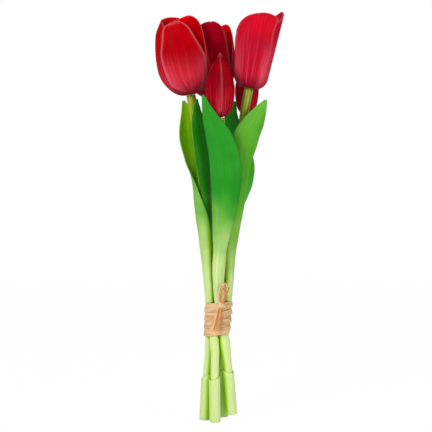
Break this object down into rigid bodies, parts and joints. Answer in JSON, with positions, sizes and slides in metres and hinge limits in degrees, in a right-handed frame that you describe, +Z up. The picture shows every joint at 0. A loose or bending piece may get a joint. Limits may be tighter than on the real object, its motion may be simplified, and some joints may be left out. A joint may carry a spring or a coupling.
{
  "type": "artificial tulip bouquet",
  "caption": "Bunch of soft artificial tulips, open blooms and closed buds on bendable wire-cored stems with long leaves, tied with a raffia winding and bow, standing on sleeved stem ends.",
  "frame": {"origin": "on the ground under the middle of the bounding box", "axes": "+Z up along the stems, -Y towards the front, +X to the right seen from the front"},
  "size_m": [0.1242, 0.1048, 0.3966],
  "materials": {
    "petal_red": "soft satin",
    "petal_inner_red": "soft satin",
    "bud_core_red": "foam",
    "bloom_core_green": "matte",
    "stem_green": "soft satin",
    "leaf_green": "soft satin",
    "foot_pale_green": "soft satin",
    "wire_steel": "drawn wire",
    "raffia": "dry palm fibre"
  },
  "bodies": {
    "bundle": {"foot_front": "foot_pale_green", "foot_left": "foot_pale_green", "foot_middle": "foot_pale_green", "foot_rear": "foot_pale_green", "foot_right": "foot_pale_green", "raffia_bow": "raffia", "raffia_winding": "raffia", "stem_lower_front": "stem_green", "stem_lower_left": "stem_green", "stem_lower_middle": "stem_green", "stem_lower_rear": "stem_green", "stem_lower_right": "stem_green"},
    "tulip_left": {"leaf_left_inner": "leaf_green", "leaf_left_outer": "leaf_green", "stem_upper_left": "stem_green", "wire_left": "wire_steel"},
    "head_left": {"core_left": "bloom_core_green", "petal_left_inner_1": "petal_inner_red", "petal_left_inner_2": "petal_inner_red", "petal_left_inner_3": "petal_inner_red", "petal_left_outer_1": "petal_red", "petal_left_outer_2": "petal_red", "petal_left_outer_3": "petal_red"},
    "tulip_front": {"leaf_front": "leaf_green", "stem_upper_front": "stem_green", "wire_front": "wire_steel"},
    "head_front": {"core_front": "bud_core_red", "petal_front_1": "petal_red", "petal_front_2": "petal_red", "petal_front_3": "petal_red"},
    "tulip_right": {"leaf_right_inner": "leaf_green", "leaf_right_outer": "leaf_green", "stem_upper_right": "stem_green", "wire_right": "wire_steel"},
    "head_right": {"core_right": "bloom_core_green", "petal_right_inner_1": "petal_inner_red", "petal_right_inner_2": "petal_inner_red", "petal_right_inner_3": "petal_inner_red", "petal_right_outer_1": "petal_red", "petal_right_outer_2": "petal_red", "petal_right_outer_3": "petal_red"},
    "tulip_rear": {"leaf_rear": "leaf_green", "stem_upper_rear": "stem_green", "wire_rear": "wire_steel"},
    "head_rear": {"core_rear": "bud_core_red", "petal_rear_1": "petal_red", "petal_rear_2": "petal_red", "petal_rear_3": "petal_red"},
    "tulip_middle": {"leaf_middle_back": "leaf_green", "leaf_middle_side": "leaf_green", "stem_upper_middle": "stem_green", "wire_middle": "wire_steel"},
    "head_middle": {"core_middle": "bloom_core_green", "petal_middle_inner_1": "petal_inner_red", "petal_middle_inner_2": "petal_inner_red", "petal_middle_inner_3": "petal_inner_red", "petal_middle_outer_1": "petal_red", "petal_middle_outer_2": "petal_red", "petal_middle_outer_3": "petal_red"}
  },
  "joints": [
    {"name": "bend_left", "type": "hinge", "parent": "bundle", "child": "tulip_left", "pos_m": [-0.00956, -0.01863, 0.1288], "axis": [-0.0005, -1, 0], "range_deg": [0, 20], "deforming": ["wire_left"]},
    {"name": "pull_left", "type": "slide", "parent": "tulip_left", "child": "head_left", "axis": [-0.1736, 0, 0.9848], "range_m": [0, 0.018]},
    {"name": "bend_front", "type": "hinge", "parent": "bundle", "child": "tulip_front", "pos_m": [-0.00099, -0.02486, 0.1288], "axis": [0.9971, 0.0767, 0], "range_deg": [0, 20], "deforming": ["wire_front"]},
    {"name": "pull_front", "type": "slide", "parent": "tulip_front", "child": "head_front", "axis": [0, 0, 1], "range_m": [0, 0.018]},
    {"name": "bend_right", "type": "hinge", "parent": "bundle", "child": "tulip_right", "pos_m": [0.00789, -0.01428, 0.1288], "axis": [-0.0005, 1, 0], "range_deg": [0, 20], "deforming": ["wire_right"]},
    {"name": "pull_right", "type": "slide", "parent": "tulip_right", "child": "head_right", "axis": [0.1908, 0, 0.9816], "range_m": [0, 0.018]},
    {"name": "bend_rear", "type": "hinge", "parent": "bundle", "child": "tulip_rear", "pos_m": [0.0018, -0.00728, 0.1288], "axis": [-0.7398, 0.6729, 0], "range_deg": [0, 20], "deforming": ["wire_rear"]},
    {"name": "pull_rear", "type": "slide", "parent": "tulip_rear", "child": "head_rear", "axis": [0.0175, 0, 0.9998], "range_m": [0, 0.018]},
    {"name": "bend_middle", "type": "hinge", "parent": "bundle", "child": "tulip_middle", "pos_m": [-0.00725, -0.00936, 0.1288], "axis": [-0.9863, -0.1649, 0], "range_deg": [0, 20], "deforming": ["wire_middle"]},
    {"name": "pull_middle", "type": "slide", "parent": "tulip_middle", "child": "head_middle", "axis": [0.0175, 0, 0.9998], "range_m": [0, 0.018]}
  ]
}
